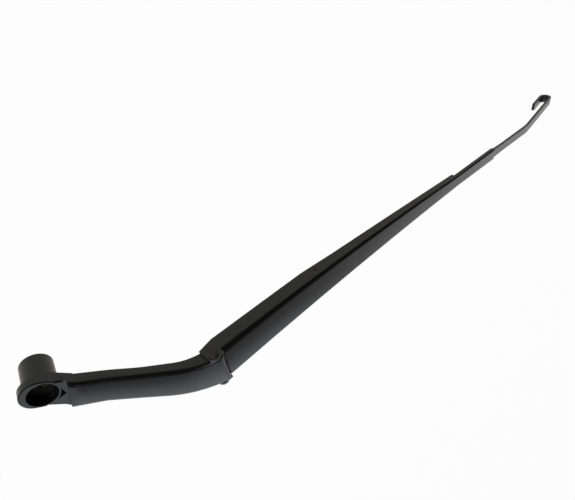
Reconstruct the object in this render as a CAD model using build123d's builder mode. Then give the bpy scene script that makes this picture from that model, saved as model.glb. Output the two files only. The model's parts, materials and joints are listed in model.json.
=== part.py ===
"""Car wiper arm: a cast head on the wiper spindle, a sprung folding channel and a hooked blade rod."""
import os
from math import asin, atan, atan2, cos, degrees, hypot, pi, radians, sin, sqrt, tan

from build123d import *

# Cast head: boss on the spindle, nut well, cap pocket
boss_height = 29.5
boss_radius = 11.4
plate_height = 6.6
pad_radius = 11.6
pad_tail = 3.2
pad_edge = 0.6
boss_edge = 0.7
well_radius = 10.2
well_depth = 10.0
stud_hole_radius = 4.25
web_thickness = 4.0
taper_top_radius = 4.9
taper_mouth_radius = 5.7
lip_thickness = 1.3
pocket_reach = 15.2
pocket_spread = 26.0
pocket_depth = 4.6
pocket_turn = -7.0
step_height = 2.0
step_distance = 15.7
step_skew = 13.0
waist_distance = 9.0
waist_width = 19.6
gusset_start = 3.0
gusset_depth = 10.2
gusset_width = 21.6

# Cast head: cranked neck, hollow below
hinge_x = 112.2
hinge_y = -52.6
hinge_z = 22.7
neck_angle = -29.6
neck_start = 11.5
neck_start_width = 20.6
flare_distance = 19.0
flare_width = 23.6
flare_shift = 2.6
neck_head_width = 21.9
neck_hinge_width = 31.8
neck_width_growth = 2.1
neck_head_depth = 9.0
neck_hinge_drop = 9.4
neck_depth_growth = 4.2
neck_rise_growth = 1.03
neck_edge_round = 3.5
neck_crown = 150.0
neck_wall = 2.4
crank_radius = 68.0
line_steps = 3
crank_steps = 6
hollow_start = 26.0
hollow_end_gap = 19.0
rib_first = 48.0
rib_spacing = 32.0
rib_thickness = 1.8
rib_recess = 0.7

# Hinge
rest_fold = 10.7
ear_width = 35.0
ear_radius = 6.0
far_ear_radius = 4.8
ear_tail = 6.4
ear_drop = 10.8
knuckle_radius = 5.8
tongue_end = 7.1
tongue_spare = 9.0
nose_drop = 1.4
nose_clearance = 0.8
side_clearance = 0.3
stop_clearance = 0.3
pin_radius = 3.0
pin_head_radius = 4.3
pin_head_height = 1.0
pin_passage = 0.4
bush_radius = 4.4
bush_length = 6.6
bush_flange_radius = 5.0
bush_flange = 0.8
running_clearance = 0.05
press_clearance = 0.03

# Spring link and its anchor under the hinge
anchor_s = -3.4
anchor_n = -7.2
anchor_radius = 1.75
anchor_clearance = 0.1
lug_radius = 4.0
lug_width = 4.0
lug_slot = 4.6
lug_relief = 0.5
link_slot_rise = 1.6
link_thickness = 3.0
link_strip = 2.6
link_eye_radius = 3.3
link_belly_drop = 9.8
link_belly_reach = 14.2
link_belly_start = 0.6
link_belly_slope = 3.5
link_length = 46.0
link_slot_travel = 4.2
link_slot_room = 0.9
link_bend_round = 3.0
link_end_wall = 1.3

# Extension spring
wire_radius = 1.0
wire_bend_radius = 1.15
coil_radius = 3.2
coil_pitch = 3.2
coil_turns = 18.25
coil_steps = 8
wire_sides = 6
loop_gap = 0.3
loop_return = 9.0
hook_return = 3.5

# Pressed steel channel
sheet = 1.5
roof_gap = 7.3
roof_crown = 100.0
channel_end = 319.0
channel_steps = 6
roof_level = 3.7
roof_sag = 2.4
end_width = 14.0
width_bulge = 1.4
hinge_wall = 17.4
spring_wall = 18.1
spring_wall_end = 106.0
mid_wall = 15.6
mid_wall_start = 143.0
end_wall = 7.4
hinge_fold = 5.6
end_fold = 2.0
spring_pin_s = 118.0
spring_pin_n = -8.9
spring_pin_radius = 1.8
spring_pin_proud = 0.5

# Crimp and blade rod
tip_rise = 1.8
crimp_length = 69.0
crimp_width = 13.6
crimp_overlap = 3.0
crimp_slit = 4.2
crimp_drop = 0.25
crimp_clearance = 0.06
rod_width = 9.0
rod_thickness = 3.0
rod_start = 6.0
shoulder_width = 10.8
shoulder_length = 18.0
bend_distance = 139.0
bend_angle = 10.3
bend_round = 40.0
hook_reach = 85.0
hook_height = 14.0
hook_leg = 31.0
hook_tip_round = 2.2

# Derived places
hinge = Vector(hinge_x, hinge_y, hinge_z)
fold = radians(rest_fold)
along = Vector(cos(fold), 0, -sin(fold))
outward = Vector(sin(fold), 0, cos(fold))
ear_inside = ear_width / 2 - sheet
tongue_half = ear_inside - side_clearance
rim_level = well_depth
boss_end = well_depth - boss_height
plate_floor = rim_level - plate_height
seat_depth = boss_height - well_depth - web_thickness
neck_dir = radians(neck_angle)
crank_x = hinge_y / tan(neck_dir)
crank_tangent = crank_radius * tan(-neck_dir / 2)
line_length = hypot(crank_x, hinge_y) - crank_tangent
arc_length = crank_radius * -neck_dir
arc_end = line_length + arc_length
neck_length = arc_end + hinge_x - crank_x - crank_tangent
hollow_end = neck_length - hollow_end_gap
line_pace = (line_length - flare_distance) / line_steps
neck_stations = [flare_distance + line_pace * step for step in range(line_steps)]
neck_stations += [line_length + arc_length * step / crank_steps for step in range(crank_steps + 1)]
neck_rise = hinge_z + knuckle_radius - rim_level - step_height
end_rise = atan(neck_rise_growth * neck_rise / neck_length)
neck_end_depth = knuckle_radius + neck_hinge_drop
neck_along = Vector(cos(end_rise), 0, sin(end_rise))
spring_dir = atan2(spring_pin_n - anchor_n, spring_pin_s - anchor_s)
crimp_height = rod_thickness + 2 * (sheet - 0.2)
rod_level = roof_level - crimp_drop - crimp_height / 2

# Planes: the channel's side view, across the channel, and the plan of its rod
side_plane = Plane(origin=hinge, x_dir=along, z_dir=(0, -1, 0))
neck_side_plane = Plane(origin=hinge, x_dir=neck_along, z_dir=(0, -1, 0))
anchor_plane = Plane(
    origin=hinge + along * anchor_s + outward * anchor_n,
    x_dir=along * cos(spring_dir) + outward * sin(spring_dir),
    z_dir=(0, -1, 0),
)
pull = anchor_plane.x_dir
tip_turn = fold - radians(tip_rise)
tip_along = Vector(cos(tip_turn), 0, -sin(tip_turn))
tip_outward = Vector(sin(tip_turn), 0, cos(tip_turn))
crimp_origin = hinge + along * channel_end + outward * rod_level
crimp_plane = Plane(origin=crimp_origin - tip_along * crimp_overlap, x_dir=(0, 1, 0), z_dir=tip_along)
rod_side_plane = Plane(origin=crimp_origin, x_dir=tip_along, z_dir=(0, -1, 0))
rod_plan_plane = Plane(origin=crimp_origin, x_dir=tip_along, z_dir=tip_outward)
spring_pin_plane = Plane(
    origin=hinge + along * spring_pin_s + outward * spring_pin_n, x_dir=along, z_dir=(0, -1, 0)
)
spring_reach = hypot(spring_pin_n - anchor_n, spring_pin_s - anchor_s)
coil_end = spring_reach - coil_radius - wire_radius
coil_start = coil_end - coil_pitch * coil_turns
coil_plane = Plane(origin=anchor_plane.origin + pull * coil_start, x_dir=(0, 1, 0), z_dir=pull)
loop_place = link_length - link_slot_room + loop_gap
loop_plane = Plane(origin=anchor_plane.origin, x_dir=pull, z_dir=anchor_plane.y_dir)
step_dir = neck_dir + radians(step_skew)
pocket_dir = neck_dir + radians(pocket_turn)
pocket_start = well_radius + lip_thickness + 0.2
spread = radians(pocket_spread)
seat_taper = degrees(atan((taper_mouth_radius - taper_top_radius) / seat_depth))
hook_mean_radius = (hook_height - rod_thickness) / 2
hook_run = hook_reach - hook_height / 2
hook_start = (
    bend_distance + hook_run * cos(radians(bend_angle)),
    -hook_run * sin(radians(bend_angle)),
)


def across(station, level=0.0):
    """Plane square to the channel at a distance from the hinge: x along the pin, y outward."""
    return Plane(origin=hinge + along * station + outward * level, x_dir=(0, 1, 0), z_dir=along)


def neck_point(length):
    """Plan point and heading of the neck's middle line at a length from the spindle."""
    if length <= line_length:
        return length * cos(neck_dir), length * sin(neck_dir), neck_dir
    if length >= arc_end:
        return hinge_x - neck_length + length, hinge_y, 0.0
    turn = (length - arc_end) / crank_radius
    arc_x = hinge_x - neck_length + arc_end
    return arc_x + crank_radius * sin(turn), hinge_y + crank_radius * (1 - cos(turn)), turn


def neck_plane(length):
    """Upright plane square to the neck's middle line, at the height of the frame."""
    x, y, heading = neck_point(length)
    if length == flare_distance:
        x += flare_shift * sin(heading)
        y -= flare_shift * cos(heading)
    return Plane(origin=(x, y, 0), x_dir=(-sin(heading), cos(heading), 0), z_dir=(cos(heading), sin(heading), 0))


def neck_size(length):
    """Width, roof height and depth of the neck at a length from the spindle."""
    share = length / neck_length
    width = neck_head_width + (neck_hinge_width - neck_head_width) * share**neck_width_growth
    if length == neck_start:
        width = neck_start_width
    if length == flare_distance:
        width = flare_width
    roof = rim_level + step_height + neck_rise * share**neck_rise_growth
    depth = neck_head_depth + (neck_end_depth - neck_head_depth) * share**neck_depth_growth
    return width, roof, depth


def bowed(width, roof, low, edge_round, crown):
    """Outline of two walls, two rounded edges and a slightly bowed roof; call inside a line block."""
    half = width / 2
    side = half - edge_round
    swing = crown - edge_round
    level = roof - crown + sqrt(swing**2 - side**2)
    lean = degrees(asin(side / swing))
    Line((half, low), (half, level))
    CenterArc((side, level), edge_round, 0, 90 - lean)
    CenterArc((0, roof - crown), crown, 90 - lean, 2 * lean)
    CenterArc((-side, level), edge_round, 90 + lean, 90 - lean)
    Line((-half, level), (-half, low))


def arch(width, roof, low, edge_round):
    """Closed section of the neck with a flat foot."""
    half = width / 2
    with BuildSketch() as section:
        with BuildLine():
            bowed(width, roof, low, edge_round, neck_crown)
            Line((-half, low), (half, low))
        make_face()
    return section.sketch


def pressed_section(width, roof, low, fold_radius):
    """Inverted U of the sheet: two walls, two folds and a roof."""
    half = width / 2
    inside = half - sheet
    with BuildSketch() as section:
        with BuildLine():
            bowed(width, roof, low, fold_radius, roof_crown)
            bowed(width - 2 * sheet, roof - sheet, low, fold_radius - sheet, roof_crown - sheet)
            Line((half, low), (inside, low))
            Line((-half, low), (-inside, low))
        make_face()
    return section.sketch


def coil_section(turns):
    """Plane square to the spring's wire after a number of turns, its x away from the coil's axis."""
    angle = radians(360 * turns)
    lead = atan(coil_pitch / (2 * pi * coil_radius))
    radial = coil_plane.x_dir * cos(angle) + coil_plane.y_dir * sin(angle)
    forward = (coil_plane.y_dir * cos(angle) - coil_plane.x_dir * sin(angle)) * cos(lead) + pull * sin(lead)
    place = coil_plane.origin + radial * coil_radius + pull * (coil_pitch * turns)
    return Plane(origin=place, x_dir=radial, z_dir=forward)


def channel_share(station):
    """Share of the channel's length from its hinge end to its tip."""
    return (station - roof_gap) / (channel_end - roof_gap)


def width_at(station):
    """Outside width of the tapering channel at a distance from the hinge."""
    share = channel_share(station)
    return ear_width + (end_width - ear_width) * share + 4 * width_bulge * share * (1 - share)


def roof_at(station):
    """Level of the channel's roof, which sags a little between its ends."""
    share = channel_share(station)
    return roof_level - 4 * roof_sag * share * (1 - share)


os.makedirs("parts", exist_ok=True)

# Head: boss, pad and cranked neck cast in one piece
with BuildPart() as arm_head:
    with BuildSketch(Plane.XY.offset(plate_floor)):
        Circle(boss_radius)
    extrude(amount=boss_end - plate_floor)
    chamfer(arm_head.edges().sort_by(Axis.Z)[0], boss_edge)
    with BuildSketch(Plane.XY.offset(plate_floor)):
        Circle(pad_radius)
        with Locations((-pad_tail * cos(neck_dir), -pad_tail * sin(neck_dir))):
            Circle(pad_radius)
            Rectangle(2 * pad_tail, 2 * pad_radius, rotation=neck_angle, align=(Align.MIN, Align.CENTER))
        Polygon(
            (0, -waist_width / 2),
            (waist_distance, -waist_width / 2),
            (flare_distance, -flare_width / 2 - flare_shift),
            (flare_distance, flare_width / 2 - flare_shift),
            (waist_distance, waist_width / 2),
            (0, waist_width / 2),
            rotation=neck_angle,
            align=None,
        )
    extrude(amount=plate_height)
    chamfer(arm_head.edges().group_by(Axis.Z)[-1], pad_edge)
    with BuildSketch(neck_plane(gusset_start)):
        with Locations((0, rim_level - gusset_depth)):
            Rectangle(gusset_width, gusset_depth - 1, align=(Align.CENTER, Align.MIN))
    with BuildSketch(neck_plane(flare_distance)):
        with Locations((0, rim_level + step_height - neck_head_depth)):
            Rectangle(flare_width - 0.2, neck_head_depth - step_height - 1, align=(Align.CENTER, Align.MIN))
    loft(ruled=True)
    for length in [neck_start] + neck_stations:
        width, roof, depth = neck_size(length)
        with BuildSketch(neck_plane(length)):
            add(arch(width, roof, roof - depth, neck_edge_round))
    with BuildSketch(Plane(origin=hinge + neck_along * tongue_spare, x_dir=(0, 1, 0), z_dir=neck_along)):
        add(arch(neck_hinge_width, knuckle_radius, -neck_hinge_drop, neck_edge_round))
    loft(ruled=True)
    # rounded end of the tongue with a nose that stays below the channel's roof
    with BuildSketch(neck_side_plane):
        Rectangle(40, 40, align=(Align.MIN, Align.CENTER))
        Circle(tongue_end, mode=Mode.SUBTRACT)
        with Locations((0, -nose_drop)):
            Rectangle(30, 30, align=(Align.MIN, Align.MAX), mode=Mode.SUBTRACT)
    extrude(amount=ear_width, both=True, mode=Mode.SUBTRACT)
    with BuildSketch(across(roof_gap - nose_clearance)):
        Rectangle(60, 60)
        add(arch(2 * tongue_half, roof_level - sheet - nose_clearance, -35, hinge_fold), mode=Mode.SUBTRACT)
    extrude(amount=12, mode=Mode.SUBTRACT)
    with BuildSketch(neck_side_plane):
        Rectangle(40, 40, align=(Align.MIN, Align.CENTER))
        Circle(tongue_end, mode=Mode.SUBTRACT)
    extrude(amount=lug_slot / 2, both=True, mode=Mode.SUBTRACT)
    # lugs of the anchor under the knuckle
    with BuildSketch(anchor_plane):
        Circle(lug_radius)
    extrude(amount=lug_slot / 2 + lug_width, both=True)
    for side in (-1, 1):
        with BuildSketch(side_plane.offset(side * tongue_half)):
            with Locations((-ear_tail - stop_clearance, 0)):
                Rectangle(40, 60, align=(Align.MIN, Align.CENTER))
        extrude(amount=side * 10, mode=Mode.SUBTRACT)
    # step up from the pad to the neck's roof, and the pad's own level
    with BuildSketch(Plane.XY.offset(rim_level)):
        with Locations(Location((step_distance * cos(step_dir), step_distance * sin(step_dir)), degrees(step_dir))):
            Rectangle(60, 60, align=(Align.MAX, Align.CENTER))
    extrude(amount=20, mode=Mode.SUBTRACT)
    # nut well, stud hole and tapered seat on the spindle
    with BuildSketch(Plane.XY):
        Circle(well_radius)
    extrude(amount=20, mode=Mode.SUBTRACT)
    with BuildSketch(Plane.XY):
        Circle(stud_hole_radius)
    extrude(amount=-web_thickness, mode=Mode.SUBTRACT)
    with BuildSketch(Plane.XY.offset(boss_end)):
        Circle(taper_mouth_radius)
    extrude(amount=seat_depth, taper=seat_taper, mode=Mode.SUBTRACT)
    # pocket that the nut cap clips into, behind a thin lip
    with BuildSketch(Plane.XY.offset(rim_level - pocket_depth)):
        Polygon(
            (pocket_start * cos(pocket_dir + spread), pocket_start * sin(pocket_dir + spread)),
            (pocket_reach * cos(pocket_dir), pocket_reach * sin(pocket_dir)),
            (pocket_start * cos(pocket_dir - spread), pocket_start * sin(pocket_dir - spread)),
            align=None,
        )
        Circle(well_radius + lip_thickness, mode=Mode.SUBTRACT)
    extrude(amount=20, mode=Mode.SUBTRACT)
    # hollow under the neck, with cross ribs
    for length in [hollow_start] + [s for s in neck_stations if hollow_start < s < hollow_end] + [hollow_end]:
        width, roof, depth = neck_size(length)
        with BuildSketch(neck_plane(length)):
            add(arch(width - 2 * neck_wall, roof - neck_wall, roof - depth - 4, neck_edge_round - neck_wall))
    loft(ruled=True, mode=Mode.SUBTRACT)
    for length in (rib_first, rib_first + rib_spacing):
        width, roof, depth = neck_size(length)
        with BuildSketch(neck_plane(length)):
            add(arch(width - neck_wall, roof - neck_wall / 2, roof - depth + rib_recess, neck_edge_round - neck_wall))
        extrude(amount=rib_thickness / 2, both=True)
    # seats of the bushes, passage of the hinge pin, anchor hole and the slot of the link
    for side in (-1, 1):
        with BuildSketch(side_plane.offset(side * tongue_half)):
            Circle(bush_radius + press_clearance)
        extrude(amount=-side * bush_length, mode=Mode.SUBTRACT)
        with BuildSketch(side_plane.offset(side * tongue_half)):
            Circle(bush_flange_radius + press_clearance)
        extrude(amount=-side * bush_flange, mode=Mode.SUBTRACT)
    with BuildSketch(side_plane):
        Circle(pin_radius + pin_passage)
        with Locations((anchor_s, anchor_n)):
            Circle(anchor_radius + press_clearance)
    extrude(amount=ear_width, both=True, mode=Mode.SUBTRACT)
    with BuildSketch(side_plane):
        with Locations((anchor_s, anchor_n)):
            Circle(link_eye_radius + lug_relief)
        with Locations((anchor_s, anchor_n + link_slot_rise)):
            Rectangle(24, 14, align=(Align.CENTER, Align.MAX))
    extrude(amount=lug_slot / 2, both=True, mode=Mode.SUBTRACT)

# Flanged bushes pressed into both sides of the knuckle
with BuildPart() as hinge_bush_a:
    with BuildSketch(side_plane.offset(-tongue_half)):
        Circle(bush_radius)
    extrude(amount=bush_length)
    with BuildSketch(side_plane.offset(-tongue_half)):
        Circle(bush_flange_radius)
    extrude(amount=bush_flange)
    with BuildSketch(side_plane.offset(-tongue_half)):
        Circle(pin_radius + running_clearance)
    extrude(amount=bush_length, mode=Mode.SUBTRACT)

with BuildPart() as hinge_bush_b:
    with BuildSketch(side_plane.offset(tongue_half)):
        Circle(bush_radius)
    extrude(amount=-bush_length)
    with BuildSketch(side_plane.offset(tongue_half)):
        Circle(bush_flange_radius)
    extrude(amount=-bush_flange)
    with BuildSketch(side_plane.offset(tongue_half)):
        Circle(pin_radius + running_clearance)
    extrude(amount=-bush_length, mode=Mode.SUBTRACT)

# Rivet that the channel folds about
with BuildPart() as hinge_pin:
    with BuildSketch(side_plane):
        Circle(pin_radius)
    extrude(amount=ear_width / 2, both=True)
    for side in (-1, 1):
        with BuildSketch(side_plane.offset(side * ear_width / 2)):
            Circle(pin_head_radius)
        extrude(amount=side * pin_head_height)
    chamfer(hinge_pin.edges().group_by(Axis.Y)[0], pin_head_height * 0.6)
    chamfer(hinge_pin.edges().group_by(Axis.Y)[-1], pin_head_height * 0.6)

# Pin in the head that holds the spring link
with BuildPart() as anchor_pin:
    with BuildSketch(anchor_plane):
        Circle(anchor_radius)
    extrude(amount=tongue_half - 1, both=True)
    chamfer(anchor_pin.edges().group_by(Axis.Y)[0], 0.3)
    chamfer(anchor_pin.edges().group_by(Axis.Y)[-1], 0.3)

# Curved link that carries the pull round the knuckle
with BuildPart() as spring_link:
    with BuildSketch(anchor_plane):
        with BuildLine():
            FilletPolyline(
                (0, 0),
                (link_belly_start, -link_belly_drop),
                (link_belly_reach, -link_belly_drop),
                (link_belly_reach + link_belly_slope, 0),
                (link_length, 0),
                radius=link_bend_round,
            )
        trace(line_width=link_strip)
        Circle(link_eye_radius)
        with Locations((link_length + link_slot_travel / 2, 0)):
            SlotCenterToCenter(link_slot_travel, 2 * (wire_radius + link_slot_room + link_end_wall))
            SlotCenterToCenter(link_slot_travel, 2 * (wire_radius + link_slot_room), mode=Mode.SUBTRACT)
        Circle(anchor_radius + anchor_clearance, mode=Mode.SUBTRACT)
    extrude(amount=link_thickness / 2, both=True)

# Extension spring: coil with a side hook at each end, the hooks a quarter turn apart
with BuildPart() as tension_spring:
    for step in range(round(coil_turns * coil_steps) + 1):
        with BuildSketch(coil_section(step / coil_steps)):
            RegularPolygon(wire_radius, wire_sides)
    loft(ruled=True)
    with Locations(coil_section(0).origin, coil_section(coil_turns).origin):
        Sphere(wire_bend_radius)
    with BuildLine(loop_plane) as loop_path:
        near = Line((coil_start, coil_radius), (loop_place + coil_radius, coil_radius))
        bow = JernArc(near @ 1, near % 1, coil_radius, 180)
        Line(bow @ 1, bow @ 1 + (bow % 1) * loop_return)
    with BuildSketch(Plane(origin=loop_path.line @ 0, z_dir=loop_path.line % 0)):
        RegularPolygon(wire_radius, wire_sides)
    sweep(path=loop_path.line)
    with BuildLine(anchor_plane) as hook_path:
        away = Line((coil_end, coil_radius), (spring_reach, coil_radius))
        bend = JernArc(away @ 1, away % 1, coil_radius, -180)
        Line(bend @ 1, bend @ 1 + (bend % 1) * hook_return)
    with BuildSketch(Plane(origin=hook_path.line @ 0, z_dir=hook_path.line % 0)):
        RegularPolygon(wire_radius, wire_sides)
    sweep(path=hook_path.line)

# Cross pin that the spring pulls on
with BuildPart() as spring_pin:
    with BuildSketch(spring_pin_plane):
        Circle(spring_pin_radius)
    extrude(amount=width_at(spring_pin_s) / 2 + spring_pin_proud, both=True)
    chamfer(spring_pin.edges().group_by(Axis.Y)[0], 0.3)
    chamfer(spring_pin.edges().group_by(Axis.Y)[-1], 0.3)

# Channel pressed from sheet, with the ears of the hinge and the crimp round the rod
with BuildPart() as channel:
    for step in range(channel_steps + 1):
        station = roof_gap + (channel_end - roof_gap) * step / channel_steps
        fold_radius = hinge_fold + (end_fold - hinge_fold) * step / channel_steps
        with BuildSketch(across(station)):
            add(pressed_section(width_at(station), roof_at(station), roof_level - spring_wall, fold_radius))
    loft(ruled=True)
    # lower edges of the walls, deeper where the spring lies
    with BuildSketch(side_plane):
        Polygon(
            (roof_gap - 1, roof_level - hinge_wall),
            (roof_gap, roof_level - hinge_wall),
            (spring_wall_end, roof_level - spring_wall),
            (mid_wall_start, roof_level - mid_wall),
            (channel_end, roof_level - end_wall),
            (channel_end + 1, roof_level - end_wall),
            (channel_end + 1, roof_level - 2 * spring_wall),
            (roof_gap - 1, roof_level - 2 * spring_wall),
            align=None,
        )
    extrude(amount=ear_width, both=True, mode=Mode.SUBTRACT)
    for side, round_end in ((-1, ear_radius), (1, far_ear_radius)):
        with BuildSketch(side_plane.offset(side * ear_width / 2)):
            Circle(round_end)
            Polygon(
                (-ear_tail, -ear_drop),
                (roof_gap, roof_level - hinge_wall),
                (roof_gap, roof_level - 0.2),
                (round_end * sin(fold + 0.4), round_end * cos(fold + 0.4)),
                (0, 0),
                (-round_end, 0),
                align=None,
            )
            Circle(pin_radius + press_clearance, mode=Mode.SUBTRACT)
        extrude(amount=-side * sheet)
    with BuildSketch(spring_pin_plane):
        Circle(spring_pin_radius + press_clearance)
    extrude(amount=ear_width, both=True, mode=Mode.SUBTRACT)
    with BuildSketch(crimp_plane):
        RectangleRounded(crimp_width, crimp_height, end_fold - 0.3)
        Rectangle(rod_width + 2 * crimp_clearance, rod_thickness + 2 * crimp_clearance, mode=Mode.SUBTRACT)
        with Locations((0, -crimp_height / 2)):
            Rectangle(crimp_slit, crimp_height, mode=Mode.SUBTRACT)
    extrude(amount=crimp_length + crimp_overlap)

# Flat blade rod with its bend and hook
with BuildPart() as blade_rod:
    with BuildSketch(rod_side_plane):
        with BuildLine():
            shank = FilletPolyline((rod_start, 0), (bend_distance, 0), hook_start, radius=bend_round)
            turn = JernArc(shank @ 1, shank % 1, hook_mean_radius, -180)
            leg = Line(turn @ 1, turn @ 1 + (turn % 1) * (hook_leg - hook_height / 2))
        trace(line_width=rod_thickness)
    extrude(amount=rod_width / 2, both=True)
    hook_tip = rod_side_plane.from_local_coords(leg @ 1)
    tip_corners = blade_rod.edges().filter_by(Axis.Y, reverse=True).sort_by_distance(hook_tip)[:2]
    fillet(tip_corners, hook_tip_round)
    with BuildSketch(rod_plan_plane):
        with BuildLine():
            Polyline(
                (crimp_length + 0.3, -shoulder_width / 2),
                (crimp_length + shoulder_length, -rod_width / 2),
                (crimp_length + shoulder_length, rod_width / 2),
                (crimp_length + 0.3, shoulder_width / 2),
                close=True,
            )
        make_face()
    extrude(amount=rod_thickness / 2, both=True)

arm_head.part.label = "arm_head"
export_step(arm_head.part, "parts/arm_head.step")
hinge_bush_a.part.label = "hinge_bush_a"
export_step(hinge_bush_a.part, "parts/hinge_bush_a.step")
hinge_bush_b.part.label = "hinge_bush_b"
export_step(hinge_bush_b.part, "parts/hinge_bush_b.step")
hinge_pin.part.label = "hinge_pin"
export_step(hinge_pin.part, "parts/hinge_pin.step")
anchor_pin.part.label = "anchor_pin"
export_step(anchor_pin.part, "parts/anchor_pin.step")
spring_link.part.label = "spring_link"
export_step(spring_link.part, "parts/spring_link.step")
tension_spring.part.label = "tension_spring"
export_step(tension_spring.part, "parts/tension_spring.step")
spring_pin.part.label = "spring_pin"
export_step(spring_pin.part, "parts/spring_pin.step")
channel.part.label = "channel"
export_step(channel.part, "parts/channel.step")
blade_rod.part.label = "blade_rod"
export_step(blade_rod.part, "parts/blade_rod.step")
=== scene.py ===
import json
from math import cos, pi, radians, sin

import bmesh
import bpy
from mathutils import Matrix, Vector


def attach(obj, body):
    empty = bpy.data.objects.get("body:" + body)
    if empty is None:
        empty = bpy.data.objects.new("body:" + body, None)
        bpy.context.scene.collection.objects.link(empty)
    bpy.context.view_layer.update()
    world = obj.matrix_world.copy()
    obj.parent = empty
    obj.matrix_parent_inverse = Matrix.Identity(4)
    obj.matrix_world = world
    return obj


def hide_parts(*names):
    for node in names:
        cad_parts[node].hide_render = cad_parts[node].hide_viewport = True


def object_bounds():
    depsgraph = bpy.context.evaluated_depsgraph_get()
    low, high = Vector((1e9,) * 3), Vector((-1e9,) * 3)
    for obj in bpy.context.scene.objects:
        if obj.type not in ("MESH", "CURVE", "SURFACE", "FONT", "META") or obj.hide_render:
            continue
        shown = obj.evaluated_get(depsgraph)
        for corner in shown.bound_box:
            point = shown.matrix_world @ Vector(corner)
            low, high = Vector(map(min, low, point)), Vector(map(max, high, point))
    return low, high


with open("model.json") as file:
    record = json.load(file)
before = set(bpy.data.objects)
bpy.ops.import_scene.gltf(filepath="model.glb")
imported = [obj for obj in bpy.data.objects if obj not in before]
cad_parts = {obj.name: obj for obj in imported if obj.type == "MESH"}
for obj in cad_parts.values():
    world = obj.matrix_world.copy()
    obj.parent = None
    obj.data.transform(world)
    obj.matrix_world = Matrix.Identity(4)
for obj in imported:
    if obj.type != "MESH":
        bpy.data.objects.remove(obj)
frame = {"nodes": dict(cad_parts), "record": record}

cad_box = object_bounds()
nodes = frame["nodes"]

# Places that the solids use, in millimetres
MM = 0.001
ORIGIN = Vector((0.0, 0.0, 0.0))
HINGE = Vector((112.2, -52.6, 22.7))
FOLD = radians(10.7)
ALONG = Vector((cos(FOLD), 0.0, -sin(FOLD)))
OUTWARD = Vector((sin(FOLD), 0.0, cos(FOLD)))
ACROSS = Vector((0.0, 1.0, 0.0))
ANCHOR = HINGE + ALONG * -3.4 + OUTWARD * -7.2
FAR_PIN = HINGE + ALONG * 118.0 + OUTWARD * -8.9
NECK_TURN = radians(-29.6)
NECK_WAY = Vector((cos(NECK_TURN), sin(NECK_TURN), 0.0))
NECK_SIDE = Vector((-sin(NECK_TURN), cos(NECK_TURN), 0.0))


def new_material(name):
    """Empty node material with its output and shader."""
    mat = bpy.data.materials.new(name)
    mat.use_nodes = True
    tree = mat.node_tree
    tree.nodes.clear()
    out = tree.nodes.new("ShaderNodeOutputMaterial")
    shader = tree.nodes.new("ShaderNodeBsdfPrincipled")
    tree.links.new(shader.outputs["BSDF"], out.inputs["Surface"])
    return mat, tree, shader


def feed(tree, value, socket):
    """Link a socket to another one, or set it to a plain value."""
    if isinstance(value, bpy.types.NodeSocket):
        tree.links.new(value, socket)
    else:
        socket.default_value = value


def calc(tree, operation, *values):
    """Result of a calculation on sockets and plain numbers."""
    node = tree.nodes.new("ShaderNodeMath")
    node.operation = operation
    for socket, value in zip(node.inputs, values):
        feed(tree, value, socket)
    return node.outputs["Value"]


def vector_calc(tree, operation, *values):
    """Result of a calculation on sockets and plain vectors."""
    node = tree.nodes.new("ShaderNodeVectorMath")
    node.operation = operation
    for socket, value in zip(node.inputs, values):
        feed(tree, value, socket)
    return node.outputs["Value" if operation == "DOT_PRODUCT" else "Vector"]


def distance(tree, coords, origin, way):
    """Distance of the coordinates from an origin along a way."""
    return vector_calc(tree, "DOT_PRODUCT", vector_calc(tree, "SUBTRACT", coords, origin), way)


def remap(tree, value, first, last, low, high):
    """Map first and last to low and high, and stay there beyond them."""
    node = tree.nodes.new("ShaderNodeMapRange")
    node.inputs["From Min"].default_value = first
    node.inputs["From Max"].default_value = last
    node.inputs["To Min"].default_value = low
    node.inputs["To Max"].default_value = high
    tree.links.new(value, node.inputs["Value"])
    return node.outputs["Result"]


def noise(tree, coords, scale, detail, roughness):
    """Noise on coordinates, its value from 0 to 1."""
    tex = tree.nodes.new("ShaderNodeTexNoise")
    tex.inputs["Scale"].default_value = scale
    tex.inputs["Detail"].default_value = detail
    tex.inputs["Roughness"].default_value = roughness
    tree.links.new(coords, tex.inputs["Vector"])
    return tex.outputs["Fac"]


def ramp(tree, value, stops):
    """Colour ramp over a value; stops are (position, colour)."""
    node = tree.nodes.new("ShaderNodeValToRGB")
    items = node.color_ramp.elements
    while len(items) < len(stops):
        items.new(0.5)
    for item, (pos, colour) in zip(items, stops):
        item.position = pos
        item.color = (*colour, 1.0)
    tree.links.new(value, node.inputs["Fac"])
    return node.outputs["Color"]


def bump(tree, height, strength, depth, normal=None):
    """Normal of a height, on top of another normal if one is given."""
    node = tree.nodes.new("ShaderNodeBump")
    node.inputs["Distance"].default_value = depth
    feed(tree, strength, node.inputs["Strength"])
    tree.links.new(height, node.inputs["Height"])
    if normal is not None:
        tree.links.new(normal, node.inputs["Normal"])
    return node.outputs["Normal"]


def mix_shaders(tree, share, one, two):
    """Shader that is one, with a share of two."""
    node = tree.nodes.new("ShaderNodeMixShader")
    for socket, value in zip(node.inputs, (share, one, two)):
        tree.links.new(value, socket)
    return node.outputs["Shader"]


# Crown of the roofs: how much they curve, per metre. On the neck also the place of its ridge, how
# gently it turns at the crank, and how it comes in after the boss and fades towards the hinge: from
# and to a distance along the neck, from one share to another.
CHANNEL_CURVE = 2.5
NECK_CURVE = 10.7
NECK_RIDGE = -3.0 * MM
CRANK_EASE = 14.0 * MM
NECK_FADES = [(19.0 * MM, 23.0 * MM, 0.0, 1.0), (60.0 * MM, 115.0 * MM, 1.0, 0.3)]


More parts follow.
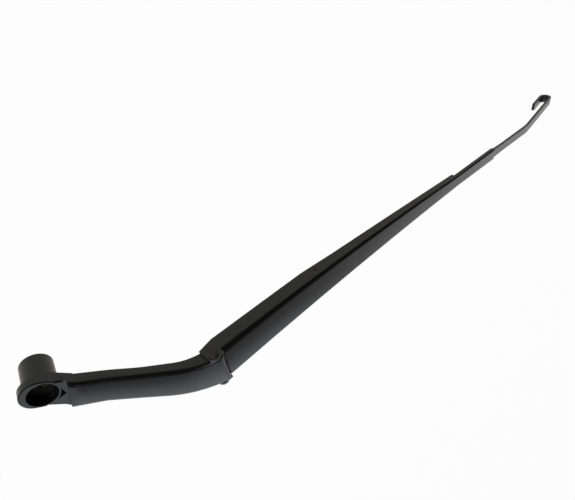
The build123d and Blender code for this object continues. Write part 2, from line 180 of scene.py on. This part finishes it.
def crown(tree, across, ridge, curve, share):
    """Normal of a roof that is slightly crowned across its width; share is how far it applies."""
    offset = calc(tree, "SUBTRACT", across, ridge)
    height = calc(tree, "MULTIPLY", calc(tree, "MULTIPLY", offset, offset), -0.5 * curve)
    return bump(tree, height, strength=share, depth=1.0)


def neck_crown(tree, coords):
    """Crown of the head's neck, across its straight run and its crank to the hinge."""
    run = distance(tree, coords, ORIGIN, NECK_SIDE)
    end = distance(tree, coords, HINGE * MM, ACROSS)
    across = calc(tree, "SMOOTH_MIN", run, end, CRANK_EASE)
    reach = distance(tree, coords, ORIGIN, NECK_WAY)
    shares = [remap(tree, reach, *fade) for fade in NECK_FADES]
    return crown(tree, across, NECK_RIDGE, NECK_CURVE, calc(tree, "MULTIPLY", *shares))


def channel_crown(tree, coords):
    """Crown of the channel's roof."""
    return crown(tree, distance(tree, coords, HINGE * MM, ACROSS), 0.0, CHANNEL_CURVE, 1.0)


# Noise in the finishes: scale per metre, detail and roughness
PAINT_CLOUDS = (24.0, 4.0, 0.6)
HEAD_PEEL = (1400.0, 2.0, 0.5)
SHEET_PEEL = (1800.0, 2.0, 0.5)
STEEL_STAINS = (180.0, 4.0, 0.6)
STEEL_LINES = (1.0, 3.0, 0.6)
PLASTIC_CLOUDS = (300.0, 3.0, 0.5)
PLASTIC_GRAIN = (2600.0, 2.0, 0.5)
# Values of the noise at the two ends of a finish's shades and roughness
NOISE_ENDS = (0.3, 0.7)
# Scale of the scratches along the part and across it, per metre
LINE_SCALE = (60.0, 900.0, 900.0)
LINE_DEPTH = 0.02 * MM
PEEL_STRENGTH = 0.25
GRAIN_STRENGTH = 0.2
GRAIN_DEPTH = 0.03 * MM
finishes = {}


def new_finish(slot):
    """Material of a slot, kept with the finishes: its nodes, its shader and the object's coordinates."""
    finishes[slot], tree, shader = new_material(slot)
    return tree, shader, tree.nodes.new("ShaderNodeTexCoord").outputs["Object"]


def dress(tree, shader, shades, shade_noise, rough, rough_noise, normal):
    """Give a shader its shades and its roughness, each between two ends, and its normal."""
    colour = ramp(tree, shade_noise, list(zip(NOISE_ENDS, shades)))
    tree.links.new(colour, shader.inputs["Base Color"])
    tree.links.new(remap(tree, rough_noise, *NOISE_ENDS, *rough), shader.inputs["Roughness"])
    tree.links.new(normal, shader.inputs["Normal"])


def paint(slot, shades, rough, peel, depth, gloss, roof=None):
    """Satin black paint: slow shade changes and a fine orange peel, on a crowned roof if one is given."""
    tree, shader, coords = new_finish(slot)
    clouds = noise(tree, coords, *PAINT_CLOUDS)
    normal = roof(tree, coords) if roof else None
    normal = bump(tree, noise(tree, coords, *peel), PEEL_STRENGTH, depth, normal)
    dress(tree, shader, shades, clouds, rough, clouds, normal)
    shader.inputs["Specular IOR Level"].default_value = gloss


def metal(slot, shades, rough, scratch):
    """Bare or plated steel with slow stains and fine scratches along the part."""
    tree, shader, coords = new_finish(slot)
    stains = noise(tree, coords, *STEEL_STAINS)
    stretch = tree.nodes.new("ShaderNodeMapping")
    stretch.inputs["Scale"].default_value = LINE_SCALE
    tree.links.new(coords, stretch.inputs["Vector"])
    lines = noise(tree, stretch.outputs["Vector"], *STEEL_LINES)
    dress(tree, shader, shades, stains, rough, lines, bump(tree, lines, scratch, LINE_DEPTH))
    shader.inputs["Metallic"].default_value = 1.0


def plastic(slot, shades, rough):
    """Moulded plastic with a slight mottle."""
    tree, shader, coords = new_finish(slot)
    clouds = noise(tree, coords, *PLASTIC_CLOUDS)
    grain = noise(tree, coords, *PLASTIC_GRAIN)
    dress(tree, shader, shades, clouds, rough, grain, bump(tree, grain, GRAIN_STRENGTH, GRAIN_DEPTH))


ARM_SHADES = ((0.006, 0.00576, 0.0054), (0.0081, 0.00778, 0.00729))
ROD_SHADES = ((0.012, 0.012, 0.012), (0.016, 0.016, 0.016))
PIN_SHADES = ((0.035, 0.034, 0.033), (0.06, 0.058, 0.056))
LINK_SHADES = ((0.42, 0.42, 0.42), (0.52, 0.52, 0.51))
SPRING_SHADES = ((0.12, 0.12, 0.125), (0.18, 0.18, 0.185))
BUSH_SHADES = ((0.024, 0.024, 0.025), (0.032, 0.032, 0.033))
paint("head_paint", ARM_SHADES, (0.2, 0.26), HEAD_PEEL, depth=0.05 * MM, gloss=0.36, roof=neck_crown)
paint("channel_paint", ARM_SHADES, (0.2, 0.26), SHEET_PEEL, depth=0.04 * MM, gloss=0.4, roof=channel_crown)
paint("rod_paint", ROD_SHADES, (0.3, 0.37), SHEET_PEEL, depth=0.04 * MM, gloss=0.52)
metal("pin_steel", PIN_SHADES, (0.35, 0.5), scratch=0.3)
metal("link_steel", LINK_SHADES, (0.3, 0.45), scratch=0.4)
metal("spring_steel", SPRING_SHADES, (0.28, 0.4), scratch=0.3)
plastic("bush_plastic", BUSH_SHADES, (0.4, 0.55))
for subpart in frame["record"]["subparts"]:
    obj = nodes[subpart["node"]]
    obj.data.materials.clear()
    obj.data.materials.append(finishes[subpart["material_slot"]])


def add_skin(work, rings, smooth, closed):
    """Faces through rings of points; the two ends are capped unless the rings close on themselves."""
    rows = [[work.verts.new(point) for point in ring] for ring in rings]
    count = len(rows[0])
    pairs = list(zip(rows, rows[1:]))
    if closed:
        pairs.append((rows[-1], rows[0]))
    for one, two in pairs:
        for k in range(count):
            face = work.faces.new((one[k], one[(k + 1) % count], two[(k + 1) % count], two[k]))
            face.smooth = smooth
    if not closed:
        work.faces.new(rows[0][::-1])
        work.faces.new(rows[-1])


def new_piece(name, skins, body, slot, smooth=False, closed=False):
    """Piece of skins through rings of points in millimetres; it rides on a body and takes a slot's finish."""
    work = bmesh.new()
    for rings in skins:
        add_skin(work, rings, smooth, closed)
    bmesh.ops.recalc_face_normals(work, faces=work.faces)
    mesh = bpy.data.meshes.new(name)
    work.to_mesh(mesh)
    work.free()
    mesh.transform(Matrix.Scale(MM, 4))
    obj = bpy.data.objects.new(name, mesh)
    bpy.context.collection.objects.link(obj)
    mesh.materials.append(finishes[slot])
    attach(obj, body)
    return obj


def full_turn(count):
    """Angles at even steps round a circle."""
    return [2 * pi * k / count for k in range(count)]


def round_rings(path, radius, sides):
    """Rings of a round wire along a path, turned from one to the next without twist."""
    rings = []
    side = None
    for k, place in enumerate(path):
        way = (path[min(k + 1, len(path) - 1)] - path[max(k - 1, 0)]).normalized()
        if side is None:
            side = way.orthogonal()
        side = (side - way * side.dot(way)).normalized()
        other = way.cross(side)
        rings.append([place + (side * cos(a) + other * sin(a)) * radius for a in full_turn(sides)])
    return rings


# Round wire of the spring: loop on the link, coils and the hook on the cross pin
WIRE_RADIUS = 1.0
WIRE_SIDES = 12
COIL_RADIUS = 3.2
COIL_PITCH = 3.2
COIL_TURNS = 18.25
TURN_STEPS = 28
LOOP_APEX = 45.4
LOOP_RETURN = 9.0
LOOP_STEPS = 5
HOOK_RETURN = 3.5
HALF_TURN_STEPS = 16
CORNER = 2.0
CORNER_STEPS = 6
pull = (FAR_PIN - ANCHOR).normalized()
lift = pull.cross(ACROSS)
hook_place = (FAR_PIN - ANCHOR).length
coil_end = hook_place - COIL_RADIUS - WIRE_RADIUS
coil_start = coil_end - COIL_PITCH * COIL_TURNS
loop_place = LOOP_APEX + COIL_RADIUS


def spring_point(reach, y, n):
    """Point by its distance along the pull, across the channel and outward."""
    return ANCHOR + pull * reach + ACROSS * y + lift * n


def coil_point(turn):
    """Point on the coils after a number of turns."""
    angle = 2 * pi * turn
    return spring_point(coil_start + COIL_PITCH * turn, COIL_RADIUS * cos(angle), COIL_RADIUS * sin(angle))


def corner(first, middle, last):
    """Points of a bend in the wire between two points."""
    steps = [k / CORNER_STEPS for k in range(1, CORNER_STEPS)]
    return [first * (1 - k) ** 2 + middle * (2 * k * (1 - k)) + last * k**2 for k in steps]


half_turn = [radians(-90 + 180 * k / HALF_TURN_STEPS) for k in range(HALF_TURN_STEPS + 1)]
loop_tail = [LOOP_RETURN * k / LOOP_STEPS for k in range(LOOP_STEPS, 0, -1)]
wire = [spring_point(loop_place + reach, -COIL_RADIUS, 0) for reach in loop_tail]
wire += [spring_point(loop_place - COIL_RADIUS * cos(a), COIL_RADIUS * sin(a), 0) for a in half_turn]
corner_turn = CORNER / (2 * pi * COIL_RADIUS)
wire.append(spring_point(coil_start - CORNER, COIL_RADIUS, 0))
wire += corner(wire[-1], coil_point(0), coil_point(corner_turn))
coil_count = int(TURN_STEPS * COIL_TURNS)
coil_span = COIL_TURNS - 2 * corner_turn
wire += [coil_point(corner_turn + coil_span * k / coil_count) for k in range(coil_count + 1)]
hook_line = spring_point(coil_end + CORNER, 0, COIL_RADIUS)
wire += corner(wire[-1], coil_point(COIL_TURNS), hook_line)
wire.append(hook_line)
wire += [spring_point(hook_place + COIL_RADIUS * cos(a), 0, -COIL_RADIUS * sin(a)) for a in half_turn]
wire.append(spring_point(hook_place - HOOK_RETURN, 0, -COIL_RADIUS))
wire_rings = round_rings(wire, WIRE_RADIUS, WIRE_SIDES)
spring_wire = new_piece("spring_wire", [wire_rings], "spring", "spring_steel", smooth=True)
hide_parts("tension_spring")

# Serrations of the spindle seat, seen down the nut well and from below. The spans of the bore and of
# the taper give the levels of top and foot, the radii there and the height of the teeth.
TEETH = 20
SEAT_SPANS = [(-0.25, -3.8, 4.25, 4.25, 0.3), (-4.3, -19.1, 4.92, 5.68, 0.35)]
TOOTH_SHARE = 0.42
TOOTH_ROOT = 0.06
half_tooth = TOOTH_SHARE * pi / TEETH
teeth = []
for top, foot, top_radius, foot_radius, height in SEAT_SPANS:
    for middle in full_turn(TEETH):
        ends = []
        for level, radius in ((top, top_radius), (foot, foot_radius)):
            root = radius + TOOTH_ROOT
            spots = ((middle - half_tooth, root), (middle, radius - height), (middle + half_tooth, root))
            ends.append([(r * cos(a), r * sin(a), level) for a, r in spots])
        teeth.append(ends)
new_piece("seat_serrations", teeth, "head", "link_steel")

# Web that carries the boss's gusset on along the lower edge of the neck's near flank. The flank is
# given by distances along the neck: how far it is from the neck's middle, and its lower edge's height.
FLANK = [(19.0, 9.2, 5.36), (42.17, 11.44, 8.31), (65.34, 12.19, 11.03)]
WEB_START = 18.0
WEB_END = 60.0
WEB_STEPS = 20
WEB_DROP = 1.7
WEB_DROP_LEFT = 0.05
WEB_WALL = 2.3
WEB_INSET = 0.03
WEB_OVERLAP = 0.25
WEB_RIDGE = 0.6
WEB_RIDGE_INSET = 1.2


def flank(length):
    """Distance of the near flank from the neck's middle, and the height of its lower edge."""
    start, end = FLANK[:2] if length < FLANK[1][0] else FLANK[1:]
    share = (length - start[0]) / (end[0] - start[0])
    return [a + (b - a) * share for a, b in zip(start[1:], end[1:])]


web_rings = []
for k in range(WEB_STEPS + 1):
    length = WEB_START + (WEB_END - WEB_START) * k / WEB_STEPS
    out, edge = flank(length)
    foot = edge - WEB_DROP * (1 - k / WEB_STEPS) - WEB_DROP_LEFT
    spots = (
        (out - WEB_INSET, foot),
        (out - WEB_INSET, edge + WEB_OVERLAP),
        (out - WEB_RIDGE_INSET, edge + WEB_RIDGE),
        (out - WEB_WALL, edge + WEB_OVERLAP),
        (out - WEB_WALL, foot),
    )
    web_rings.append([NECK_WAY * length + NECK_SIDE * y + Vector((0.0, 0.0, z)) for y, z in spots])
new_piece("neck_web", [web_rings], "head", "head_paint")

# Rolled edge of the rivet's formed heads
RIVET_FACE = 18.45
EDGE_RADIUS = 2.7
EDGE_STEPS = 32
ROLL_RADIUS = 0.35
ROLL_SIDES = 8
for side, name in ((1.0, "rivet_edge_near"), (-1.0, "rivet_edge_far")):
    middle = HINGE + ACROSS * (side * RIVET_FACE)
    path = [middle + (ALONG * cos(a) + OUTWARD * sin(a)) * EDGE_RADIUS for a in full_turn(EDGE_STEPS)]
    edge_rings = round_rings(path + path[:1], ROLL_RADIUS, ROLL_SIDES)[:-1]
    new_piece(name, [edge_rings], "arm", "pin_steel", smooth=True, closed=True)

# White background: its strength, and the share of it that each kind of ray sees on the floor and in the sky
WHITE = (1.0, 1.0, 1.0, 1.0)
WHITE_STRENGTH = 1.0
FLOOR_SHARES = [("Is Camera Ray", 0.96), ("Is Glossy Ray", 0.4), ("Is Transmission Ray", 0.96)]
SKY_SHARES = [("Is Camera Ray", 0.985), ("Is Glossy Ray", 0.02), ("Is Transmission Ray", 0.985)]


def ray_share(tree, parts):
    """Share of the white background by the kind of ray."""
    rays = tree.nodes.new("ShaderNodeLightPath").outputs
    share = 0.0
    for ray, part in parts:
        share = calc(tree, "MAXIMUM", share, calc(tree, "MULTIPLY", rays[ray], part))
    return share


# Floor below the hook: white for the camera and a warm share of that in reflections; the rest of it
# is pale grey and takes the shadow
FLOOR_SIZE = 12.0
FLOOR_MIDDLE = 0.3
FLOOR_GAP = 0.02
FLOOR_GREY = (0.8, 0.8, 0.8, 1.0)
FLOOR_ROUGHNESS = 0.9
FLOOR_WARMTH = (1.0, 0.95, 0.89, 1.0)
low = cad_box[0][2]
bpy.ops.mesh.primitive_plane_add(size=FLOOR_SIZE, location=(FLOOR_MIDDLE, 0.0, low - FLOOR_GAP))
floor = bpy.context.object
floor.name = "floor"
mat, tree, shader = new_material("floor_white")
shader.inputs["Base Color"].default_value = FLOOR_GREY
shader.inputs["Roughness"].default_value = FLOOR_ROUGHNESS
tint = tree.nodes.new("ShaderNodeMix")
tint.data_type = "RGBA"
plain, warm = [socket for socket in tint.inputs if socket.type == "RGBA"]
plain.default_value = WHITE
warm.default_value = FLOOR_WARMTH
tree.links.new(tree.nodes.new("ShaderNodeLightPath").outputs["Is Glossy Ray"], tint.inputs["Factor"])
glow = tree.nodes.new("ShaderNodeEmission")
glow.inputs["Strength"].default_value = WHITE_STRENGTH
tree.links.new([socket for socket in tint.outputs if socket.type == "RGBA"][0], glow.inputs["Color"])
surface = mix_shaders(tree, ray_share(tree, FLOOR_SHARES), shader.outputs["BSDF"], glow.outputs["Emission"])
tree.links.new(surface, tree.nodes["Material Output"].inputs["Surface"])
floor.data.materials.append(mat)

# Studio: a soft wall on the far side, a brighter panel beyond the blade end, and the share of that
# panel that is kept, which leaves out the near side. Each has the way it lies and its brightness at
# places from 0, opposite that way, to 1.
WALL_WAY = Vector((-0.3, -0.9, 0.3)).normalized()
WALL_TINT = (0.97, 1.0, 1.07)
WALL = [(0.45, 0.008), (0.7, 0.02), (0.82, 0.12), (0.9, 0.45), (0.945, 0.83), (0.98, 1.0)]
PANEL_WAY = (1.0, 0.0, 0.0)
PANEL = [(0.6, 0.0), (0.665, 0.06), (0.785, 0.25), (0.86, 0.63), (0.89, 0.76), (0.925, 1.15)]
KEPT_WAY = (0.0, -1.0, 0.0)
KEPT = [(0.45, 0.0), (0.66, 1.0)]
NEUTRAL = (1.0, 1.0, 1.0)
STUDIO_STRENGTH = 1.7
world = bpy.data.worlds.new("studio")
bpy.context.scene.world = world
world.use_nodes = True
sky = world.node_tree
aim = sky.nodes.new("ShaderNodeTexCoord").outputs["Generated"]


def sky_light(way, levels, tint=NEUTRAL):
    """Light over the sky by the cosine of the angle from a way."""
    place = remap(sky, vector_calc(sky, "DOT_PRODUCT", aim, way), -1.0, 1.0, 0.0, 1.0)
    return ramp(sky, place, [(pos, [level * part for part in tint]) for pos, level in levels])


panel = vector_calc(sky, "MULTIPLY", sky_light(PANEL_WAY, PANEL), sky_light(KEPT_WAY, KEPT))
studio = vector_calc(sky, "ADD", sky_light(WALL_WAY, WALL, WALL_TINT), panel)
back = sky.nodes["Background"]
sky.links.new(studio, back.inputs["Color"])
back.inputs["Strength"].default_value = STUDIO_STRENGTH
white = sky.nodes.new("ShaderNodeBackground")
white.inputs["Color"].default_value = WHITE
white.inputs["Strength"].default_value = WHITE_STRENGTH
seen = mix_shaders(sky, ray_share(sky, SKY_SHARES), back.outputs["Background"], white.outputs["Background"])
sky.links.new(seen, sky.nodes["World Output"].inputs["Surface"])

# Soft lamp high over the spindle end, which reaches down into the nut well
LAMP_PLACE = Vector((-0.35, 0.22, 0.85))
LAMP_SIZE = 0.6
LAMP_POWER = 5.0
lamp_data = bpy.data.lights.new("top_lamp", "AREA")
lamp_data.shape = "DISK"
lamp_data.size = LAMP_SIZE
lamp_data.energy = LAMP_POWER
lamp = bpy.data.objects.new("top_lamp", lamp_data)
bpy.context.collection.objects.link(lamp)
lamp.location = LAMP_PLACE
lamp.rotation_euler = (ORIGIN - LAMP_PLACE).to_track_quat("-Z", "Y").to_euler()

# Camera at the photograph's angle: its place and the ways of its picture
CAMERA_PLACE = (0.083559, 0.25908, 0.26325)
CAMERA_RIGHT = Vector((0.8458, -0.14343, 0.51387))
CAMERA_DOWN = Vector((-0.43781, -0.73702, 0.5149))
CAMERA_AHEAD = Vector((0.30489, -0.66048, -0.68616))
SENSOR_WIDTH = 36.0
LENS = 29.92
CLIP_START = 0.01
cam_data = bpy.data.cameras.new("camera")
cam = bpy.data.objects.new("camera", cam_data)
bpy.context.collection.objects.link(cam)
cam_data.sensor_fit = "HORIZONTAL"
cam_data.sensor_width = SENSOR_WIDTH
cam_data.lens = LENS
cam_data.clip_start = CLIP_START
turn = Matrix((CAMERA_RIGHT, -CAMERA_DOWN, -CAMERA_AHEAD)).transposed()
cam.matrix_world = Matrix.Translation(CAMERA_PLACE) @ turn.to_4x4()
bpy.context.scene.camera = cam
bpy.context.scene.view_settings.view_transform = "Standard"
